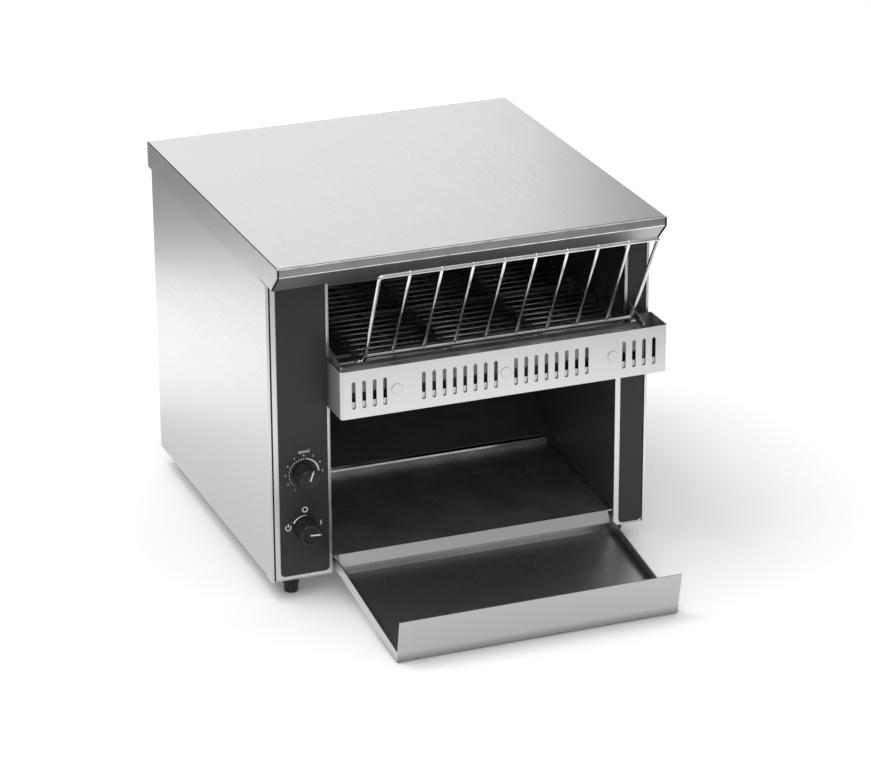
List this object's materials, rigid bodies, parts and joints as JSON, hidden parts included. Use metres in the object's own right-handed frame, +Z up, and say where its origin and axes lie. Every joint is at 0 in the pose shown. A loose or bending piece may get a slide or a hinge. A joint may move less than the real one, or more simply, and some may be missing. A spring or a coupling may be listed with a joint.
{
  "type": "conveyor toaster",
  "caption": "Countertop conveyor toaster with wire belt, wire loading rack, louvred shield, heating elements, chute, sliding trays, dials and rubber feet.",
  "frame": {"origin": "on the counter, midway between the four feet", "axes": "+X to the right of a person facing the front, +Y to the back, +Z up"},
  "size_m": [0.371, 0.5121, 0.332],
  "materials": {
    "brushed_stainless": "satin, fine brushed grain",
    "zinc_steel": "plain zinc-plated steel",
    "black_overlay": "fine matte film",
    "dark_enamel": "semi-matte heat-proof coating",
    "dark_tray": "semi-matte coating",
    "chrome_wire": "bright chrome plating",
    "belt_wire": "heat-darkened stainless wire",
    "hardened_steel": "oiled steel",
    "bronze": "sintered bronze",
    "element_sheath": "oxidised metal sheath",
    "ceramic": "unglazed ceramic",
    "insulation": "mineral fibre felt",
    "knob_plastic": "satin moulded plastic",
    "switch_plastic": "moulded plastic",
    "circuit_board": "solder-masked laminate",
    "motor_casting": "die-cast",
    "thermostat_metal": "stamped",
    "foot_rubber": "matte rubber"
  },
  "bodies": {
    "chassis": {"back_panel": "zinc_steel", "base_pan": "zinc_steel", "belt_supports": "zinc_steel", "control_board": "circuit_board", "drive_chain": "hardened_steel", "element_ceramics": "ceramic", "fan_guard": "chrome_wire", "fan_housing": "switch_plastic", "feet": "foot_rubber", "foot_fasteners": "zinc_steel", "front_shield": "brushed_stainless", "gear_motor": "motor_casting", "header_plate": "dark_enamel", "high_limit_thermostat": "thermostat_metal", "hood": "brushed_stainless", "inlet_gland": "switch_plastic", "insulation_blanket": "insulation", "left_column": "brushed_stainless", "left_inner_plate": "zinc_steel", "left_overlay": "black_overlay", "left_side_panel": "brushed_stainless", "lower_baffle": "zinc_steel", "lower_elements": "element_sheath", "mode_switch": "switch_plastic", "motor_bracket": "zinc_steel", "panel_screws": "zinc_steel", "power_relay": "switch_plastic", "rack_brackets": "zinc_steel", "rear_heat_wall": "zinc_steel", "right_cavity_wall": "dark_enamel", "right_column": "brushed_stainless", "right_inner_plate": "zinc_steel", "right_overlay": "black_overlay", "right_side_panel": "brushed_stainless", "shaft_bushings": "bronze", "shield_guard": "brushed_stainless", "shield_studs": "brushed_stainless", "speed_control": "switch_plastic", "terminal_block": "switch_plastic", "toast_chute": "dark_enamel", "tray_ledges": "zinc_steel", "upper_elements": "element_sheath", "upper_reflector": "zinc_steel", "wire_belt": "belt_wire"},
    "bread_rack_body": {"bread_rack": "chrome_wire"},
    "drive_line": {"drive_shaft": "zinc_steel", "drive_sprockets": "hardened_steel", "driven_sprocket": "hardened_steel"},
    "idler_line": {"idler_shaft": "zinc_steel", "idler_sprockets": "hardened_steel"},
    "motor_output": {"motor_sprocket": "hardened_steel", "motor_output_shaft": "zinc_steel"},
    "speed_dial": {"speed_knob": "knob_plastic", "speed_spindle": "zinc_steel"},
    "mode_dial": {"mode_knob": "knob_plastic", "mode_spindle": "zinc_steel"},
    "cooling_fan": {"fan_rotor": "switch_plastic"},
    "toast_tray": {"inner_tray": "dark_tray"},
    "catch_tray": {"collection_tray": "brushed_stainless", "tray_pins": "zinc_steel"}
  },
  "joints": [
    {"name": "rack_tilt", "type": "hinge", "parent": "chassis", "child": "bread_rack_body", "pos_m": [0.0278, -0.188, 0.228], "axis": [1, 0, 0], "range_deg": [-12, 12]},
    {"name": "drive_spin", "type": "hinge", "parent": "chassis", "child": "drive_line", "pos_m": [0, 0.0952, 0.2122], "axis": [1, 0, 0], "continuous": true},
    {"name": "idler_spin", "type": "hinge", "parent": "chassis", "child": "idler_line", "pos_m": [0, -0.18, 0.2122], "axis": [1, 0, 0], "continuous": true},
    {"name": "motor_spin", "type": "hinge", "parent": "chassis", "child": "motor_output", "pos_m": [-0.1357, 0.0452, 0.1502], "axis": [1, 0, 0], "continuous": true},
    {"name": "speed_turn", "type": "hinge", "parent": "chassis", "child": "speed_dial", "pos_m": [-0.1518, -0.18, 0.122], "axis": [0, 1, 0], "range_deg": [-170, 70]},
    {"name": "mode_turn", "type": "hinge", "parent": "chassis", "child": "mode_dial", "pos_m": [-0.1518, -0.18, 0.0685], "axis": [0, 1, 0], "range_deg": [-180, 0]},
    {"name": "fan_spin", "type": "hinge", "parent": "chassis", "child": "cooling_fan", "pos_m": [0.0131, 0.155, 0.066], "axis": [0, 1, 0], "continuous": true},
    {"name": "toast_tray_slide", "type": "slide", "parent": "chassis", "child": "toast_tray", "axis": [0, -0.9984, -0.0558], "range_m": [0, 0.12]},
    {"name": "catch_tray_slide", "type": "slide", "parent": "chassis", "child": "catch_tray", "axis": [0, -1, 0], "range_m": [-0.14, 0]}
  ],
  "couplings": [
    {"joint": "idler_spin", "follows": "drive_spin", "ratio": 1},
    {"joint": "motor_spin", "follows": "drive_spin", "ratio": 1.6667}
  ]
}
